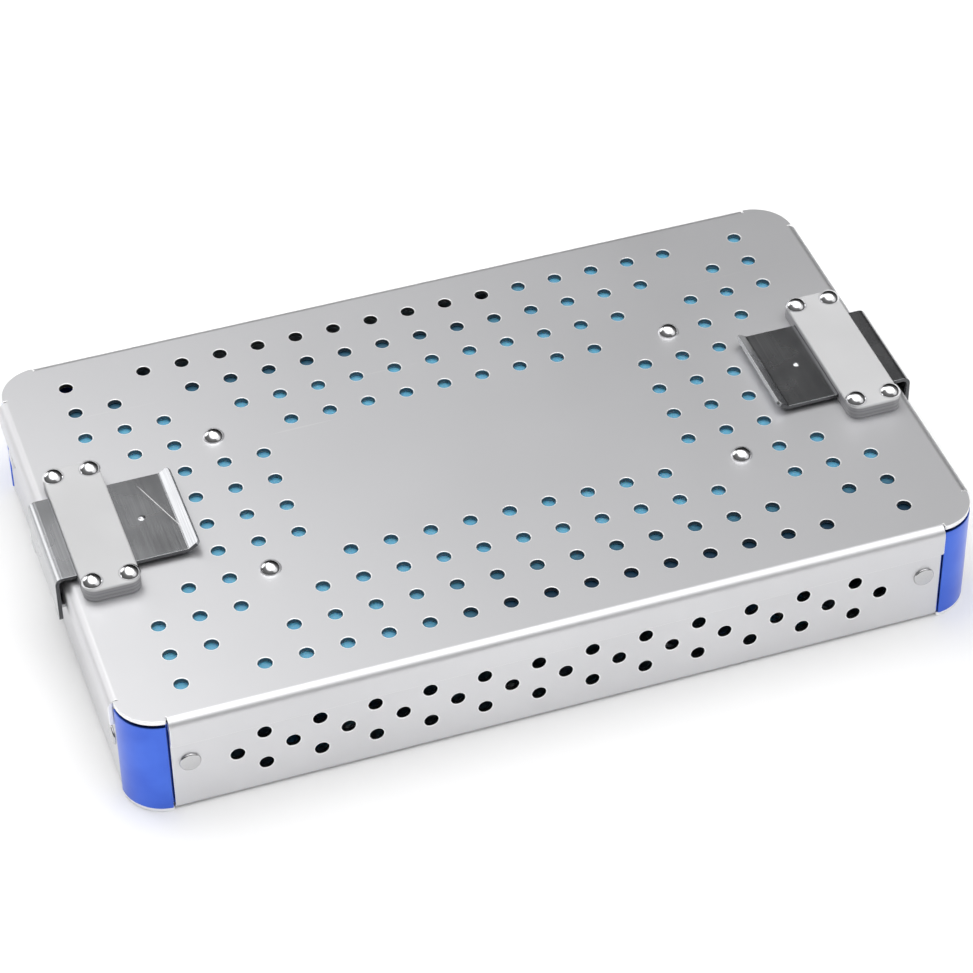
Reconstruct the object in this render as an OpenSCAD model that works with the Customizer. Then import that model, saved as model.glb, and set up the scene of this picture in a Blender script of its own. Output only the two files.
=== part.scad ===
/* [Case] */
// Length over the lid's end flanges
case_l = 215; // [180:1:260]
// Width over the lid's long flanges
case_w = 133; // [120:1:180]
// Height from the table to the lid's top face
case_h = 30; // [28:0.5:45]
// Radius of the four upright corners, outside the lid
corner_r = 11.5; // [8:0.5:14]

/* [Sheet metal] */
// Thickness of the lid's sheet
lid_sheet = 1.2; // [0.8:0.1:1.5]
// Thickness of the tray's sheet
tray_sheet = 1.2; // [0.8:0.1:1.5]
// Outside radius of the lid's long bends
lid_bend_r = 2.4; // [2:0.1:3]
// How far the lid's round corners lie inside its sides
lid_corner_in = 1.2; // [0:0.1:1.6]
// Outside radius of the bends round the tray's floor
tray_bend_r = 2; // [1.8:0.1:3]
// Depth of the lid's flanges below its top face
flange_drop = 8; // [6:0.5:9]
// Gap between a flange and the tray's wall
flange_gap = 0.15; // [0.1:0.05:0.3]
// Gap between the top of the tray's walls and the inside of the lid's bends
rim_gap = 0.1; // [0.05:0.05:0.3]

/* [Perforation] */
// Diameter of the steam holes
hole_d = 3.5; // [2.5:0.1:4]
// Pitch of the square grid in the lid and the floor
hole_pitch = 10; // [8:0.5:12]
// Least distance from a hole's centre to the lid's end or long side
hole_margin = 10; // [9:0.5:14]
// Pitch along the zigzag rows of the long walls
wall_pitch = 13.4; // [11:0.1:16]
// Height between neighbouring zigzag rows
wall_row_step = 5; // [4.5:0.1:6]
// Height of the middle zigzag row above the table
wall_row_z = 13.3; // [12:0.1:15]
// Least distance from a wall hole's centre to the wall's end
wall_margin = 13; // [12:0.5:18]

/* [Corner posts] */
// Thickness of a corner post's plate
post_t = 1; // [0.8:0.1:1.5]
// Length of the tab behind each wall
post_tab_l = 10; // [8:0.5:14]
// Gap between a wall's end and the post
post_gap = 0.5; // [0.2:0.05:0.8]
// How far the post's curve bulges beyond the wall's outer face
post_bulge = 0.3; // [-0.3:0.05:0.5]
// Gap between the post's top and the lid's underside
post_top_gap = 0.9; // [0.5:0.1:2]
// Distance from the wall's end to its rivet
corner_rivet_inset = 4.3; // [3.5:0.1:5.5]
// Height of the wall rivets above the table
corner_rivet_z = 15; // [12:0.5:18]

/* [Rivets] */
// Head diameter of the domed rivets
dome_d = 5.4; // [4.5:0.1:6]
// Height of the domed heads
dome_h = 1.9; // [1.2:0.1:2.4]
// Head diameter of the flat wall rivets
button_d = 5.2; // [4.5:0.1:6]
// Height of the flat wall rivets' heads
button_h = 0.7; // [0.4:0.1:1]
// Diameter of the rivet shanks
shank_d = 2.8; // [2:0.1:3]
// Diameter of the upset tails
tail_d = 4.6; // [4:0.1:5]
// Height of the upset tails
tail_h = 0.8; // [0.5:0.1:1.2]
// Radial clearance of a shank in its hole
shank_fit = 0.05; // [0.02:0.01:0.1]

/* [Latches] */
// Length of a guide block along the case
guide_l = 14; // [12:0.5:18]
// Width of a guide block across the case
guide_w = 45; // [40:0.5:60]
// Height of a guide block above the lid, with its pad
guide_h = 3.9; // [3.6:0.1:6]
// Corner radius of a guide block
guide_r = 3; // [2:0.5:4]
// Distance from the lid's end to the guide block
guide_inset = 3.4; // [3:0.1:5]
// Thickness of the pad under a guide block
pad_t = 1; // [0.8:0.1:1.5]
// Distance of the guide rivets from the block's ends along its width
guide_rivet_inset = 3.2; // [2.9:0.1:4]
// Spacing of the guide rivets along the case
guide_rivet_span = 9; // [7:0.1:9]
// Width of a latch slide
latch_w = 28.5; // [20:0.5:29]
// Thickness of a latch slide
latch_t = 1; // [0.8:0.1:1.2]
// Clearance round the slide in its guide
latch_fit = 0.1; // [0.05:0.05:0.2]
// Flat length of the slide inside its guide block
grip_l = 13; // [11:0.5:18]
// Length of the turned-up thumb edge
thumb_l = 2.6; // [2:0.1:4]
// Angle of the thumb edge
thumb_angle = 35; // [20:1:60]
// Corner radius of the thumb edge
thumb_r = 1.2; // [0.5:0.1:2]
// Inside radius of the slide's bends
latch_bend_r = 1; // [0.5:0.1:1.5]
// Gap between the flange and the slide's leg
leg_gap = 1.1; // [1.1:0.1:2]
// Depth of the leg below the lid's top face
leg_drop = 11.2; // [10.8:0.1:14]
// Width of the lip at the leg's foot
lip_w = 20; // [14:0.5:24]
// Gap between the lip and the tray's wall with the latch released
lip_gap = 0.3; // [0.2:0.05:0.5]
// Clearance of the lip in the wall's slot
slot_gap = 0.6; // [0.3:0.1:0.8]
// Travel of the slide outwards, until its stop bump meets the guide
release_travel = 4.5; // [4:0.1:6]
// Diameter of the stop bump
bump_d = 1.8; // [1.2:0.1:2.4]
// Height of the stop bump
bump_h = 0.45; // [0.3:0.05:0.6]

/* [Silicone] */
// Thickness of the hold-down mat under the lid
mat_t = 2; // [1.5:0.1:2.5]
// Gap between the mat and the lid
mat_gap = 0.3; // [0.2:0.1:0.6]
// Distance from the mat's long edges to the tray's walls
mat_side_gap = 5; // [4:0.5:8]
// Distance from the mat's ends to the tray's end walls
mat_end_gap = 10; // [8:0.5:14]
// Corner radius of the mat
mat_r = 6; // [3:0.5:10]
// Length along the back edge that is cut back, from the left end
mat_trim_l = 119; // [60:1:150]
// Depth of the cut-back stretch
mat_trim_w = 8; // [4:0.5:10]
// Rows of the lid's grid outside the mat's rivets, at the ends and at the sides
mat_rivet_rows = 3; // [3:1:4]
// Outside diameter of the washers under the mat and on the racks
washer_d = 8; // [6:0.5:9]
// Thickness of the washers
washer_t = 0.6; // [0.4:0.1:0.8]
// Gap between the instrument racks and the tails of the mat's rivets
rack_top_gap = 3.9; // [1:0.1:6]
// Thickness of a rack's upright
rack_t = 6; // [4:0.5:8]
// Width of a rack's foot
rack_foot_w = 14; // [12:0.5:15]
// Thickness of a rack's foot
rack_foot_t = 2.2; // [1.8:0.1:3]
// Gap between the rack's ends and the tray's walls
rack_end_gap = 6; // [5:0.5:10]
// Width of an instrument notch
notch_w = 6.4; // [5:0.1:7]
// Depth of an instrument notch
notch_h = 9; // [7:0.5:10]
// Pitch of the instrument notches
notch_pitch = 11; // [9:0.5:14]
// Length of the foot at each end of a rack, beyond its upright
rack_tail_l = 8.4; // [8.4:0.1:12]
// Diameter of the countersunk heads under the floor
sunk_d = 4.8; // [4:0.1:5]
// Depth of the countersunk heads
sunk_h = 0.9; // [0.5:0.1:0.9]
// Shank diameter of the rack rivets
rack_shank_d = 2.4; // [2:0.1:2.8]

/* [Hidden] */

$fn = 48;
over = 1; // overrun of every cut

// Where the flanges and walls end, which is also where the upright corners have their centres
reach_x = case_l/2 - corner_r;
reach_y = case_w/2 - corner_r;

// The tray sits inside the lid's flanges
inset = lid_sheet + flange_gap;
tray_x = case_l/2 - inset;
tray_y = case_w/2 - inset;
tray_r = corner_r - inset;
lid_under = case_h - lid_sheet;

// The walls stop where they meet the inside of the lid's bends
lid_in_r = lid_bend_r - lid_sheet;
bend_depth = lid_in_r - sqrt(lid_in_r*lid_in_r - pow(lid_in_r - flange_gap, 2));
tray_h = lid_under - bend_depth - rim_gap;

// The lid's grid: half the columns beside the middle one, and half the rows
half_cols = floor((case_l/2 - hole_margin)/hole_pitch);
half_rows = floor((case_w/2 - hole_margin)/hole_pitch + 1/2);
rivet_cell_x = (half_cols - mat_rivet_rows)*hole_pitch;
rivet_cell_y = (half_rows - mat_rivet_rows - 1/2)*hole_pitch;

// The latches, given for the right-hand end
guide_x = case_l/2 - guide_inset - guide_l/2;
guide_inner_x = guide_x - guide_l/2;
guide_rivet_x = guide_rivet_span/2;
guide_rivet_y = guide_w/2 - guide_rivet_inset;
slide_z = case_h + pad_t + latch_fit;
slide_top = slide_z + latch_t;
channel_top = slide_top + latch_fit;
guide_top = case_h + guide_h;
leg_x = case_l/2 + leg_gap;
leg_z = case_h - leg_drop;
lip_x = tray_x + lip_gap;
thumb_x = guide_inner_x - grip_l;
bump_x = guide_inner_x - release_travel - bump_d/2;
latch_bend_out = latch_bend_r + latch_t;

// The hold-down mat
mat_x = tray_x - tray_sheet - mat_end_gap;
mat_y = tray_y - tray_sheet - mat_side_gap;
mat_top = lid_under - mat_gap;
mat_notch_x = guide_inner_x - tail_d/2;
mat_notch_y = guide_w/2 + tail_d/2;

// The instrument racks
rack_x = rivet_cell_x;
rack_h = mat_top - mat_t - washer_t - tail_h - rack_top_gap - tray_sheet;
rack_half = tray_y - tray_sheet - rack_end_gap;
rack_up_half = rack_half - rack_tail_l;
rack_rivet_y = rack_half - rack_tail_l/2;
half_notches = floor((rack_up_half - notch_w/2 - rack_foot_t)/notch_pitch);

function row_count(half, margin, pitch) = floor((half - margin)/pitch);

// True where the lid's grid has a hole. Both indices count from the outermost hole inwards.
// A diagonal stays plain from each corner, and so do the middle panel and the latches' tracks.
full_rows = 4;
function in_full_row(col, row) = col != row + 1
    && !(row == mat_rivet_rows && (col == 0 || col == mat_rivet_rows));
function has_hole(col, row) = row < full_rows ? in_full_row(col, row) : col >= 2 && col <= 4;

module rounded_rect(l, w, r) {
    square([l - 2*r, w], center = true);
    square([l, w - 2*r], center = true);
    for (sx = [-1, 1], sy = [-1, 1]) translate([sx*(l/2 - r), sy*(w/2 - r)]) circle(r);
}

// The lid's grid of holes. The columns in skip stay plain.
module grid_holes(skip = []) {
    for (i = [-half_cols:half_cols], j = [0:2*half_rows - 1]) {
        col = half_cols - abs(i);
        row = min(j, 2*half_rows - 1 - j);
        if (has_hole(col, row) && len(search(col, skip)) == 0)
            translate([i*hole_pitch, (half_rows - 1/2 - j)*hole_pitch]) circle(d = hole_d);
    }
}

// The three zigzag rows of a long wall
module zigzag_holes() {
    half = row_count(reach_x, wall_margin, wall_pitch);
    for (i = [-half:half]) translate([i*wall_pitch, wall_row_z]) circle(d = hole_d);
    for (i = [-half:half - 1], s = [-1, 1])
        translate([(i + 1/2)*wall_pitch, wall_row_z + s*wall_row_step]) circle(d = hole_d);
}

module wall_rivet_holes(reach) {
    for (s = [-1, 1])
        translate([s*(reach - corner_rivet_inset), corner_rivet_z]) circle(d = shank_d + 2*shank_fit);
}

// One side of a folded sheet, at -y: a bend and an upright wall. Holes in the wall are children.
module folded_side(reach, half, sheet, bend, h) {
    translate([0, sheet - half, 0]) rotate([90, 0, 0]) linear_extrude(sheet) difference() {
        translate([-reach, bend]) square([2*reach, h - bend]);
        children();
    }
    translate([-reach, bend - half, bend]) rotate([90, 0, 90]) linear_extrude(2*reach) intersection() {
        difference() {
            circle(bend);
            circle(bend - sheet);
        }
        translate([-bend, -bend]) square(bend);
    }
}

// The flat of a folded sheet: straight where a side bends, round at the four corners
module folded_flat(half_x, half_y, bend, r) {
    square([2*reach_x, 2*(half_y - bend)], center = true);
    square([2*(half_x - bend), 2*reach_y], center = true);
    for (sx = [-1, 1], sy = [-1, 1]) translate([sx*reach_x, sy*reach_y]) intersection() {
        circle(r);
        translate([sx*r/2, sy*r/2]) square(r, center = true);
    }
}

module base_tray() {
    color("gainsboro") difference() {
        union() {
            linear_extrude(tray_sheet) difference() {
                folded_flat(tray_x, tray_y, tray_bend_r, tray_r);
                grid_holes(skip = [mat_rivet_rows]);
            }
            for (a = [0, 180]) rotate(a) folded_side(reach_x, tray_y, tray_sheet, tray_bend_r, tray_h) {
                union() {
                    zigzag_holes();
                    wall_rivet_holes(reach_x);
                }
            }
            for (a = [90, 270]) rotate(a) folded_side(reach_y, tray_x, tray_sheet, tray_bend_r, tray_h) {
                union() {
                    wall_rivet_holes(reach_y);
                    translate([0, leg_z + latch_t/2])
                        square([lip_w + 2*slot_gap, latch_t + 2*slot_gap], center = true);
                }
            }
        }
        for (sx = [-1, 1], sy = [-1, 1]) translate([sx*rack_x, sy*rack_rivet_y, 0]) rotate_extrude()
            sunk_profile(shank_fit, tray_sheet + over);
    }
}

// Half-section of a countersunk rivet, from the head's flat face up
module sunk_profile(grow, h) {
    polygon([
        [0, 0], [sunk_d/2 + grow, 0], [rack_shank_d/2 + grow, sunk_h],
        [rack_shank_d/2 + grow, h], [0, h]
    ]);
}

// A corner post, for the corner at +x +y: a curved plate between the walls' ends, stepped
// in to a tab behind each wall
module corner_post() {
    r = tray_r + post_bulge;
    low = tray_sheet + shank_fit;
    top = lid_under - post_top_gap;
    tab_low = tray_bend_r + tray_sheet;
    tab_face = tray_r - tray_sheet - shank_fit;
    color("royalblue") translate([reach_x, reach_y, 0]) difference() {
        union() {
            translate([0, 0, low]) linear_extrude(top - low) {
                intersection() {
                    difference() {
                        circle(r);
                        circle(r - post_t);
                    }
                    translate([post_gap, post_gap]) square(r);
                }
                for (m = [0, 1]) mirror([m, -m]) translate([post_gap, tab_face - post_t])
                    square([post_t + post_gap, r - tab_face + post_t/2]);
            }
            for (m = [0, 1]) mirror([m, -m]) translate([post_gap - post_tab_l, tab_face - post_t, tab_low])
                cube([post_tab_l + post_t, post_t, top - tab_low]);
        }
        for (m = [0, 1]) mirror([m, -m, 0])
            translate([-corner_rivet_inset, tab_face + over, corner_rivet_z])
                rotate([90, 0, 0]) cylinder(h = post_t + 2*over, d = shank_d + 2*shank_fit);
    }
}

module post_at(sx, sy) {
    mirror([sx < 0 ? 1 : 0, 0, 0]) mirror([0, sy < 0 ? 1 : 0, 0]) corner_post();
}

// A rivet along z. Its head sits on z = 0, its shank goes down through the grip to the tail.
module rivet(head_d, head_h, grip, tail = tail_h) {
    r = (head_d*head_d/4 + head_h*head_h)/(2*head_h);
    color("whitesmoke") rotate_extrude() {
        intersection() {
            translate([0, head_h - r]) circle(r);
            square([head_d/2, head_h]);
        }
        translate([0, -grip - tail]) square([shank_d/2, grip + tail]);
        translate([0, -grip - tail]) square([tail_d/2, tail]);
    }
}

module corner_rivets() {
    grip = tray_sheet + shank_fit + post_t;
    for (sx = [-1, 1], sy = [-1, 1]) {
        translate([sx*(reach_x - corner_rivet_inset), sy*tray_y, corner_rivet_z])
            rotate([-sy*90, 0, 0]) rivet(button_d, button_h, grip);
        translate([sx*tray_x, sy*(reach_y - corner_rivet_inset), corner_rivet_z])
            rotate([0, sx*90, 0]) rivet(button_d, button_h, grip);
    }
}

// An instrument rack: a foot on the floor and a notched upright along y
module rack() {
    color("skyblue") translate([0, 0, tray_sheet]) {
        linear_extrude(rack_foot_t) difference() {
            rounded_rect(rack_foot_w, 2*rack_half, rack_foot_w/4);
            for (s = [-1, 1]) translate([0, s*rack_rivet_y]) circle(d = rack_shank_d + 2*shank_fit);
        }
        translate([-rack_t/2, 0, 0]) rotate([90, 0, 90]) linear_extrude(rack_t) difference() {
            translate([-rack_up_half, 0]) square([2*rack_up_half, rack_h]);
            for (i = [-half_notches:half_notches]) translate([i*notch_pitch, rack_h - notch_h + notch_w/2]) {
                circle(d = notch_w);
                translate([-notch_w/2, 0]) square([notch_w, notch_h]);
            }
        }
    }
}

module rack_rivets() {
    top = tray_sheet + rack_foot_t + washer_t;
    for (sx = [-1, 1], sy = [-1, 1]) translate([sx*rack_x, sy*rack_rivet_y, 0])
        color("whitesmoke") rotate_extrude() {
            sunk_profile(0, top + tail_h);
            translate([0, top]) square([tail_d/2, tail_h]);
        }
}

module washer(bore) {
    color("silver") linear_extrude(washer_t) difference() {
        circle(d = washer_d);
        circle(d = bore + 2*shank_fit);
    }
}

module rack_washers() {
    for (sx = [-1, 1], sy = [-1, 1])
        translate([sx*rack_x, sy*rack_rivet_y, tray_sheet + rack_foot_t]) washer(rack_shank_d);
}

module at_mat_rivets() {
    for (sx = [-1, 1], sy = [-1, 1]) translate([sx*rivet_cell_x, sy*rivet_cell_y]) children();
}

module at_guide_rivets() {
    for (sx = [-1, 1], sy = [-1, 1]) translate([sx*guide_rivet_x, sy*guide_rivet_y]) children();
}

module lid_cover() {
    color("gainsboro") translate([0, 0, case_h]) mirror([0, 0, 1]) {
        linear_extrude(lid_sheet) difference() {
            folded_flat(case_l/2, case_w/2, lid_bend_r, corner_r - lid_corner_in);
            grid_holes();
            at_mat_rivets() circle(d = shank_d + 2*shank_fit);
            for (s = [-1, 1]) translate([s*guide_x, 0]) at_guide_rivets() circle(d = shank_d + 2*shank_fit);
        }
        for (a = [0, 180]) rotate(a) folded_side(reach_x, case_w/2, lid_sheet, lid_bend_r, flange_drop);
        for (a = [90, 270]) rotate(a) folded_side(reach_y, case_l/2, lid_sheet, lid_bend_r, flange_drop);
    }
}

module lid_mat() {
    color("skyblue") translate([0, 0, mat_top - mat_t]) linear_extrude(mat_t) difference() {
        rounded_rect(2*mat_x, 2*mat_y, mat_r);
        for (s = [-1, 1]) translate([s*(mat_notch_x + mat_x/2), 0])
            square([mat_x, 2*mat_notch_y], center = true);
        translate([-mat_x - over, mat_y - mat_trim_w]) square([mat_trim_l + over, mat_trim_w + over]);
        at_mat_rivets() circle(d = shank_d + 2*shank_fit);
    }
}

module mat_rivets() {
    grip = lid_sheet + mat_gap + mat_t + washer_t;
    translate([0, 0, case_h]) at_mat_rivets() rivet(dome_d, dome_h, grip);
}

module mat_washers() {
    translate([0, 0, mat_top - mat_t - washer_t]) at_mat_rivets() washer(shank_d);
}

module guide_pad(s) {
    color("lightgray") translate([s*guide_x, 0, case_h]) linear_extrude(pad_t) difference() {
        rounded_rect(guide_l, guide_w, guide_r);
        at_guide_rivets() circle(d = shank_d + 2*shank_fit);
    }
}

// The guide block bridges the slide: a channel runs through its underside
module guide_block(s) {
    color("lightgray") translate([s*guide_x, 0, case_h + pad_t]) difference() {
        linear_extrude(guide_h - pad_t) difference() {
            rounded_rect(guide_l, guide_w, guide_r);
            at_guide_rivets() circle(d = shank_d + 2*shank_fit);
        }
        translate([-guide_l/2 - over, -latch_w/2 - latch_fit, -over])
            cube([guide_l + 2*over, latch_w + 2*latch_fit, over + channel_top - case_h - pad_t]);
    }
}

module guide_rivets(s) {
    translate([s*guide_x, 0, guide_top]) at_guide_rivets() rivet(dome_d, dome_h, guide_h + lid_sheet);
}

// A bend of the slide: the part of a ring between straight down and turn degrees clockwise of it
module slide_bend(turn) {
    reach = 2*latch_bend_out;
    intersection() {
        difference() {
            circle(latch_bend_out);
            circle(latch_bend_r);
        }
        polygon([[0, 0], [0, -reach], [-reach*tan(turn), -reach]]);
    }
}

// Side view of the right-hand slide: thumb edge, flat, bend and leg
module slide_profile() {
    translate([thumb_x, slide_top + latch_bend_r]) {
        slide_bend(thumb_angle);
        rotate(-thumb_angle) translate([-thumb_l, -latch_bend_out]) square([thumb_l, latch_t]);
    }
    translate([thumb_x, slide_z]) square([leg_x + latch_t - latch_bend_out - thumb_x, latch_t]);
    translate([leg_x + latch_t - latch_bend_out, slide_top - latch_bend_out]) intersection() {
        difference() {
            circle(latch_bend_out);
            circle(latch_bend_r);
        }
        square(latch_bend_out);
    }
    translate([leg_x, leg_z]) square([latch_t, slide_top - latch_bend_out - leg_z]);
}

// The right-hand slide
module slide() {
    bump_r = (bump_d*bump_d/4 + bump_h*bump_h)/(2*bump_h);
    thumb_end = thumb_x - thumb_l - latch_bend_out;
    color("dimgray") {
        intersection() {
            translate([0, latch_w/2, 0]) rotate([90, 0, 0]) linear_extrude(latch_w) slide_profile();
            translate([0, 0, leg_z - over]) linear_extrude(slide_top + thumb_l + latch_t - leg_z + 2*over)
                difference() {
                    translate([thumb_end, -latch_w/2]) square([leg_x + latch_t - thumb_end, latch_w]);
                    for (s = [-1, 1]) thumb_corner(s);
                }
        }
        translate([lip_x, -lip_w/2, leg_z]) cube([leg_x + latch_t/2 - lip_x, lip_w, latch_t]);
        intersection() {
            translate([bump_x, 0, slide_top + bump_h - bump_r]) sphere(bump_r);
            translate([bump_x - bump_d/2, -bump_d/2, slide_top - latch_t/4])
                cube([bump_d, bump_d, bump_h + latch_t/2]);
        }
    }
}

// What the rounded thumb edge lacks of a square corner, seen from above
module thumb_corner(s) {
    tip = thumb_x - latch_bend_out*sin(thumb_angle) - thumb_l*cos(thumb_angle);
    translate([tip + thumb_r, s*(latch_w/2 - thumb_r)]) difference() {
        translate([-thumb_r - over, s > 0 ? 0 : -thumb_r - over]) square([thumb_r + over, thumb_r + over]);
        circle(thumb_r);
    }
}

base_tray();
post_at(-1, -1);  // corner_post_front_left
post_at(1, -1);  // corner_post_front_right
post_at(-1, 1);  // corner_post_back_left
post_at(1, 1);  // corner_post_back_right
corner_rivets();
translate([-rack_x, 0, 0]) rack();  // rack_left
translate([rack_x, 0, 0]) rack();  // rack_right
rack_rivets();
rack_washers();
lid_cover();
lid_mat();
mat_rivets();
mat_washers();
guide_pad(-1);  // guide_pad_left
guide_pad(1);  // guide_pad_right
guide_block(-1);  // guide_block_left
guide_block(1);  // guide_block_right
guide_rivets(-1);  // guide_rivets_left
guide_rivets(1);  // guide_rivets_right
mirror([1, 0, 0]) slide();  // latch_left
slide();  // latch_right
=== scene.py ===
import math

import bpy
import numpy as np
from mathutils import Matrix, Vector
from mathutils.geometry import delaunay_2d_cdt


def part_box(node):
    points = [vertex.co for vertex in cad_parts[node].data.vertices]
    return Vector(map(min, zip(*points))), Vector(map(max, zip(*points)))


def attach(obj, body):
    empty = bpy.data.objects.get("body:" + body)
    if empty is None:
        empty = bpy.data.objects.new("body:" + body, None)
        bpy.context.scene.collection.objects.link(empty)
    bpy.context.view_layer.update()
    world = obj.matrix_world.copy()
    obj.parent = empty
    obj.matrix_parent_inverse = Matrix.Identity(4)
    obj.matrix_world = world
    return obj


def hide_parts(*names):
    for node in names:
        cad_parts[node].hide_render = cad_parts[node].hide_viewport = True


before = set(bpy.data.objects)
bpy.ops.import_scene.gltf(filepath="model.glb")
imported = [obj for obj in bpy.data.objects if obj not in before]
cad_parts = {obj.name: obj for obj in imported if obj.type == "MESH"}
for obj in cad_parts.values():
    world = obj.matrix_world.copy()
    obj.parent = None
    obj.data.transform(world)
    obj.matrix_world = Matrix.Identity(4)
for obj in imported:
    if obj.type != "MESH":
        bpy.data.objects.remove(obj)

# Sizes are in millimetres, and times mm they are the metres that Blender works in
mm = 0.001
scene = bpy.context.scene
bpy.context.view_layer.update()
print("frame loaded with", len(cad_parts), "nodes")


def boxOf(node):
    low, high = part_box(node)
    return np.array(low) / mm, np.array(high) / mm


# The case itself, as the frame gives it
lidLow, lidHigh = boxOf("lid_cover")
trayHigh = boxOf("base_tray")[1]
caseTop = lidHigh[2]


# Camera: where the photograph was taken from, and the point near the lid that it looks at
photoCamera = dict(
    place=(-201.644, -620.149, 609.171),
    aim=(-2.487, -14.956, 30.0),
    rollDegrees=-0.93,
    focalPixels=3550.75,
    framePixels=973,
    sensorWidth=36.0,
    nearest=10.0,
)


def addObject(name, data):
    thing = bpy.data.objects.new(name, data)
    scene.collection.objects.link(thing)
    return thing


def aimed(place, aim):
    # The matrix of a thing that stands at one place and looks at another
    place, aim = Vector(place) * mm, Vector(aim) * mm
    return Matrix.Translation(place) @ (aim - place).to_track_quat("-Z", "Y").to_matrix().to_4x4()


def makeCamera():
    values = photoCamera
    data = bpy.data.cameras.new("photoCamera")
    data.sensor_width = values["sensorWidth"]
    data.lens = values["focalPixels"] / values["framePixels"] * values["sensorWidth"]
    data.clip_start = values["nearest"] * mm
    camera = addObject("photoCamera", data)
    roll = Matrix.Rotation(math.radians(values["rollDegrees"]), 4, "Z")
    camera.matrix_world = aimed(values["place"], values["aim"]) @ roll
    scene.camera = camera


makeCamera()
print("camera made")


def linearColour(hexColour):
    # sRGB hex to linear values
    code = hexColour.lstrip("#")
    parts = np.array([int(code[i:i + 2], 16) / 255 for i in (0, 2, 4)])
    linear = np.where(parts <= 0.04045, parts / 12.92, ((parts + 0.055) / 1.055) ** 2.4)
    return (*linear.tolist(), 1.0)


def addNode(tree, kind, sockets=(), output=0, **settings):
    # Each socket, by name or in a list by its order, gets another node's output, a hex colour or
    # a plain value. Settings are the node's own. The result is one output, or the node itself
    # where output is None.
    node = tree.nodes.new("ShaderNode" + kind)
    for key, value in settings.items():
        setattr(node, key, value)
    for key, value in sockets.items() if isinstance(sockets, dict) else enumerate(sockets):
        if isinstance(value, bpy.types.NodeSocket):
            tree.links.new(value, node.inputs[key])
        else:
            node.inputs[key].default_value = linearColour(value) if isinstance(value, str) else value
    return node if output is None else node.outputs[output]


# A Mix node has its factor at socket 0. One of values mixes sockets 2 and 3, and one of colours
# mixes 6 and 7 into output 2. A Map Range node takes a value, its range and the range it goes to.
colourMix = dict(output=2, data_type="RGBA")
# The stretch of a noise's values that nearly all of it lies in
noiseRange = (0.3, 0.7)


def startMaterial(name, **surface):
    # A material with its output, a shader with constant sockets, and object coordinates
    material = bpy.data.materials.new(name)
    material.use_nodes = True
    tree = material.node_tree
    tree.nodes.clear()
    shader = addNode(tree, "BsdfPrincipled", surface, None)
    addNode(tree, "OutputMaterial", {"Surface": shader.outputs[0]}, None)
    place = addNode(tree, "TexCoord", output="Object")
    return material, tree, shader, place


def finishMaterial(tree, shader, values, colour, height, rough=None):
    # Joins the colour, a fine relief and, where it varies, the roughness to the shader
    depth = values["reliefHeight"] * mm
    bump = addNode(tree, "Bump", {"Height": height, "Strength": values["reliefStrength"], "Distance": depth})
    tree.links.new(colour, shader.inputs["Base Color"])
    tree.links.new(bump, shader.inputs["Normal"])
    if rough is not None:
        tree.links.new(rough, shader.inputs["Roughness"])


def pattern(tree, place, sizes, detail=2.0, turn=0.0):
    # Noise whose features are that many millimetres long, alike or along x, y and z, turned by
    # degrees about z
    scale = (1 / (np.broadcast_to(sizes, 3) * mm)).tolist()
    scaled = addNode(tree, "Mapping", [place, (0, 0, 0), (0, 0, math.radians(turn)), scale])
    return addNode(tree, "TexNoise", {"Vector": scaled, "Scale": 1.0, "Detail": detail})


def spread(tree, source, low=0.0, high=1.0):
    # A noise widened to run from low to high
    return addNode(tree, "MapRange", [source, *noiseRange, low, high])


def within(tree, source, low, high):
    # 1 where the source lies between two places in millimetres, 0 elsewhere
    middle, half = (low + high) / 2 * mm, (high - low) / 2 * mm
    return addNode(tree, "Math", [source, middle, half], operation="COMPARE")


def product(tree, *sources):
    # The sources multiplied together
    result = sources[0]
    for source in sources[1:]:
        result = addNode(tree, "Math", [result, source], operation="MULTIPLY")
    return result


# Satin anodised aluminium: sheet etched matt before anodising. A broad soft sheen with a very
# fine grain, faint clouds and a few hairline handling marks. The rims of the cut edges are painted
# brighter as painted highlight, with brighter deburred metal. The walls of the punched holes are
# painted dark as painted shade, with duller sheared metal. Each stretch of painted shade runs in x,
# outwards in y and in z.
satinAluminium = dict(
    # Painted highlight: the edge colour brightens the rims of the cut edges, with brighter deburred metal
    grey="#dddddf", greyClouded="#d8d8da", edge="#fbfbfb", cloudSize=45, roughness=(0.47, 0.51),
    hairSizes=(90, 2.2, 1000), hairTurn=24, hairStart=0.72, hairFull=0.78, hairStrength=0.25,
    # Painted shade: dark colours on the walls of the punched holes, first in the lid, then in the long walls
    paintedShade=[
        ("#77787b", ((-104.0, 104.0), (-1.0, 61.5), (28.95, 29.83))),
        ("#3a3b3e", ((-97.0, 97.0), (64.05, 65.01), (3.0, 26.0))),
    ],
    grainSize=0.45, reliefHeight=0.006, reliefStrength=0.35,
)


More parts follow.
